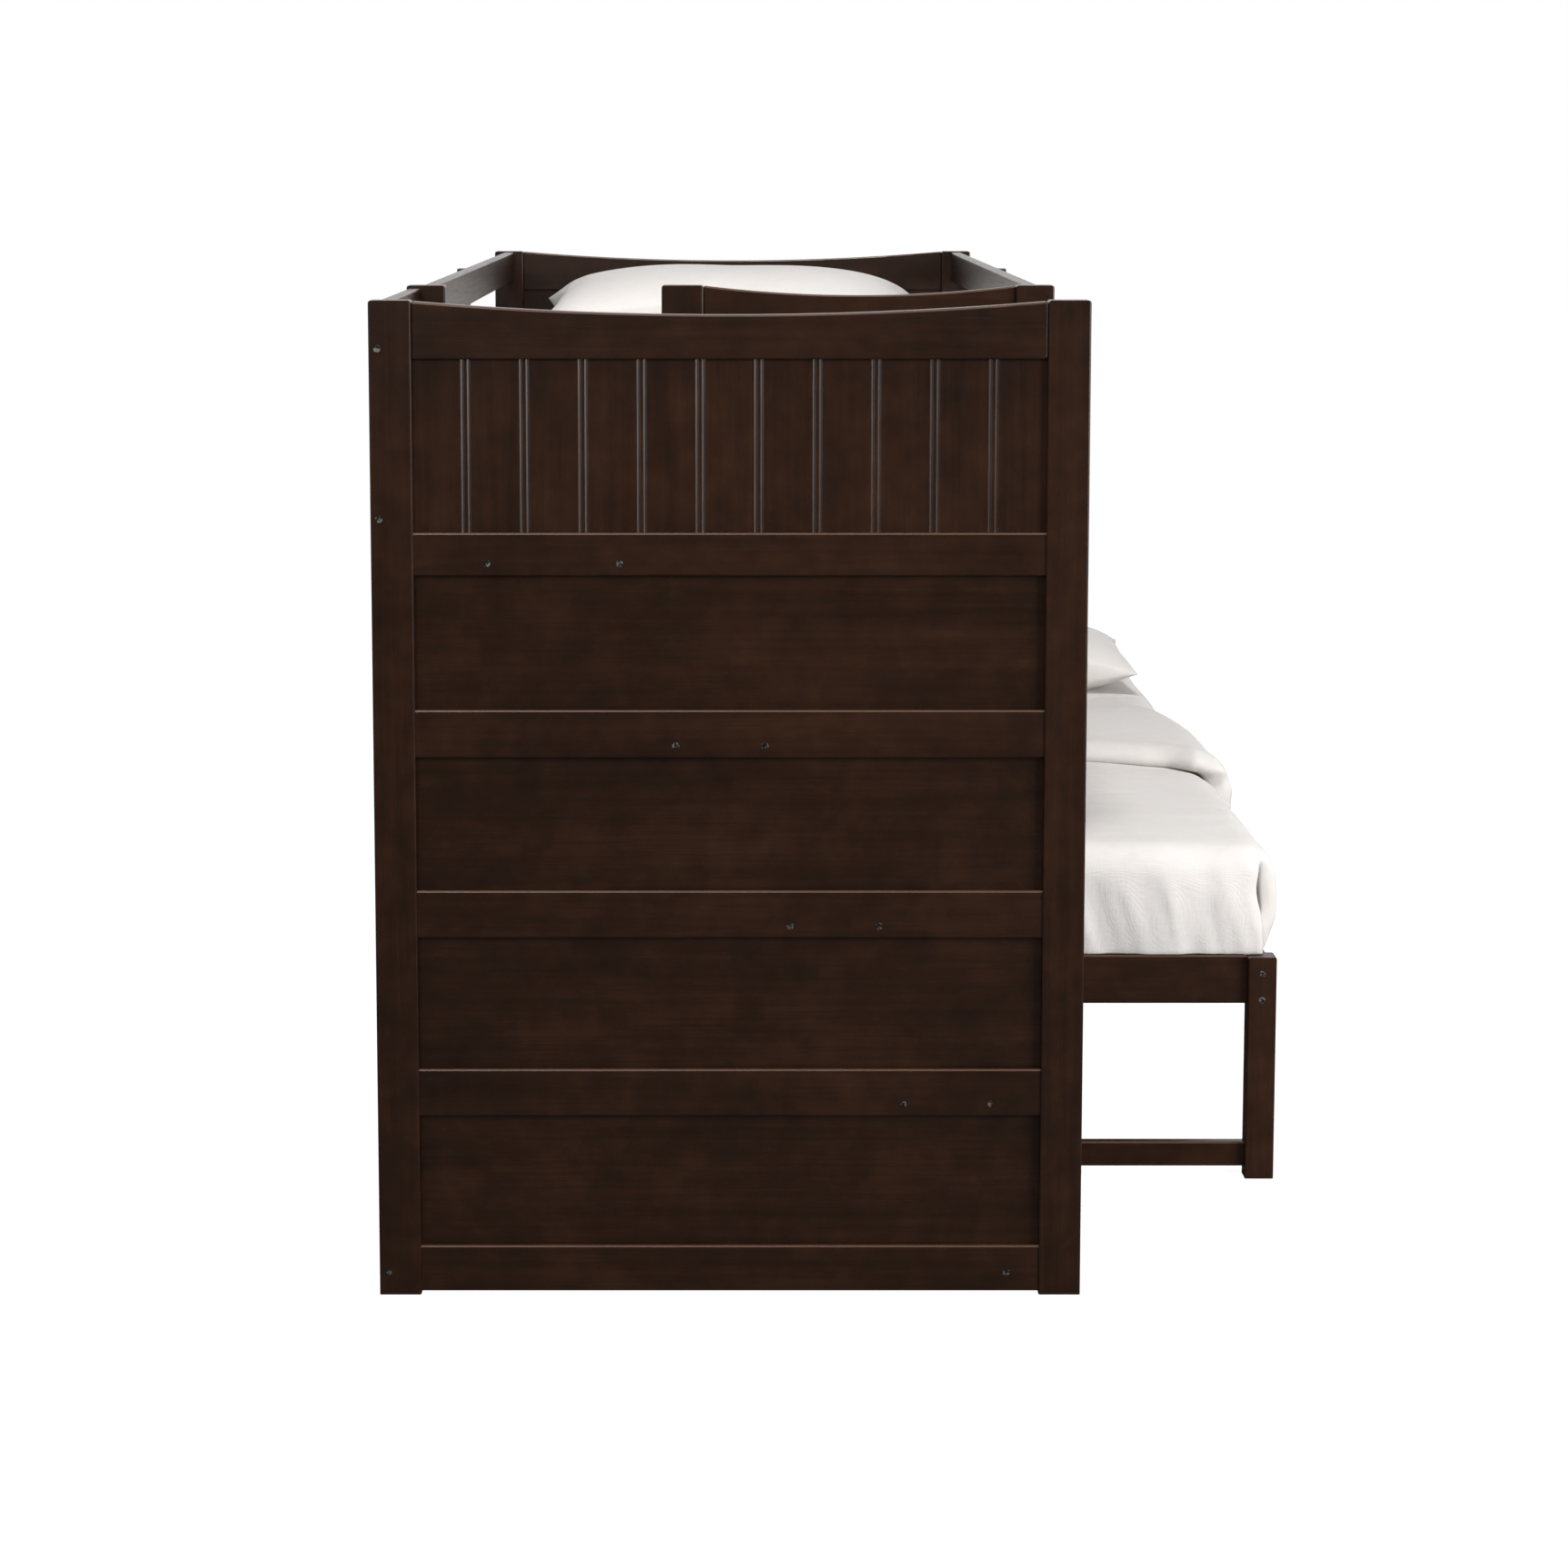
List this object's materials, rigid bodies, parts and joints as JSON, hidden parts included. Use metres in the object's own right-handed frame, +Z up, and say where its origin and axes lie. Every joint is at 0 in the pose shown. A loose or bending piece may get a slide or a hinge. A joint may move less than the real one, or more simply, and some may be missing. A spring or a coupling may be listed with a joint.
{
  "type": "bunk bed with trundle",
  "caption": "Dark wooden bunk bed with a closed storage staircase at its foot end, bedding on both bunks and a trundle on casters under the wider lower bed.",
  "frame": {"origin": "on the floor, at the middle of the object's box", "axes": "+Z up; +Y along the beds, from the staircase at the foot to the head end; +X towards the side that people get in from"},
  "size_m": [1.472, 2.574, 1.532],
  "materials": {
    "espresso_wood": "satin",
    "slat_wood": "matte",
    "bolt_metal": "satin",
    "caster_steel": "satin",
    "knob_metal": "satin",
    "wheel_rubber": "matte",
    "bed_linen": "matte",
    "mattress_ticking": "matte"
  },
  "bodies": {
    "root": {"end_panel_back_stile": "espresso_wood", "end_panel_front_stile": "espresso_wood", "end_panel_top_rail": "espresso_wood", "end_panel_guard_rail": "espresso_wood", "end_panel_cross_rails": "espresso_wood", "end_panel_beadboard": "espresso_wood", "end_panel_flats": "espresso_wood", "end_panel_bolts": "bolt_metal", "tread_1": "espresso_wood", "tread_2": "espresso_wood", "tread_3": "espresso_wood", "landing": "espresso_wood", "stair_inner_side": "espresso_wood", "stair_back_panel": "espresso_wood", "stair_base_rails": "espresso_wood", "landing_guard_boards": "espresso_wood", "drawer_runners": "slat_wood", "foot_back_post": "espresso_wood", "foot_front_post": "espresso_wood", "foot_gate_post": "espresso_wood", "foot_top_rail": "espresso_wood", "foot_end_rails": "espresso_wood", "head_back_post": "espresso_wood", "head_front_post": "espresso_wood", "head_top_rail": "espresso_wood", "head_end_rails": "espresso_wood", "bed_beadboards": "espresso_wood", "front_legs": "espresso_wood", "side_rails": "espresso_wood", "guard_rails": "espresso_wood", "guard_supports": "espresso_wood", "slat_ledgers": "slat_wood", "upper_slats": "slat_wood", "lower_slats": "slat_wood", "frame_bolts": "bolt_metal", "lower_mattress": "mattress_ticking", "lower_duvet": "bed_linen", "lower_pillows": "bed_linen", "upper_mattress": "mattress_ticking", "upper_duvet": "bed_linen", "upper_pillow": "bed_linen"},
    "drawer_1": {"drawer_1_front": "espresso_wood", "drawer_1_box": "slat_wood", "drawer_1_knob": "knob_metal"},
    "drawer_2": {"drawer_2_front": "espresso_wood", "drawer_2_box": "slat_wood", "drawer_2_knob": "knob_metal"},
    "drawer_3": {"drawer_3_front": "espresso_wood", "drawer_3_box": "slat_wood", "drawer_3_knob": "knob_metal"},
    "drawer_4": {"drawer_4_front": "espresso_wood", "drawer_4_box": "slat_wood", "drawer_4_knob": "knob_metal"},
    "trundle": {"trundle_front_board": "espresso_wood", "trundle_boards": "espresso_wood", "trundle_slats": "slat_wood", "trundle_casters": "caster_steel", "trundle_mattress": "mattress_ticking"},
    "front_wheels": {"trundle_front_wheels": "wheel_rubber"},
    "back_wheels": {"trundle_back_wheels": "wheel_rubber"}
  },
  "joints": [
    {"name": "drawer_1_slide", "type": "slide", "parent": "root", "child": "drawer_1", "axis": [1, 0, 0], "range_m": [0, 0.28]},
    {"name": "drawer_2_slide", "type": "slide", "parent": "root", "child": "drawer_2", "axis": [1, 0, 0], "range_m": [0, 0.28]},
    {"name": "drawer_3_slide", "type": "slide", "parent": "root", "child": "drawer_3", "axis": [1, 0, 0], "range_m": [0, 0.28]},
    {"name": "drawer_4_slide", "type": "slide", "parent": "root", "child": "drawer_4", "axis": [1, 0, 0], "range_m": [0, 0.28]},
    {"name": "trundle_slide", "type": "slide", "parent": "root", "child": "trundle", "axis": [1, 0, 0], "range_m": [0, 1.06]},
    {"name": "front_wheels_roll", "type": "hinge", "parent": "trundle", "child": "front_wheels", "pos_m": [0.238, 0, 0.025], "axis": [0, 1, 0], "range_deg": [0, 2430]},
    {"name": "back_wheels_roll", "type": "hinge", "parent": "trundle", "child": "back_wheels", "pos_m": [-0.64, 0, 0.025], "axis": [0, 1, 0], "range_deg": [0, 2430]}
  ],
  "couplings": [
    {"joint": "front_wheels_roll", "follows": "trundle_slide", "rad_per_m": 40},
    {"joint": "back_wheels_roll", "follows": "trundle_slide", "rad_per_m": 40}
  ]
}
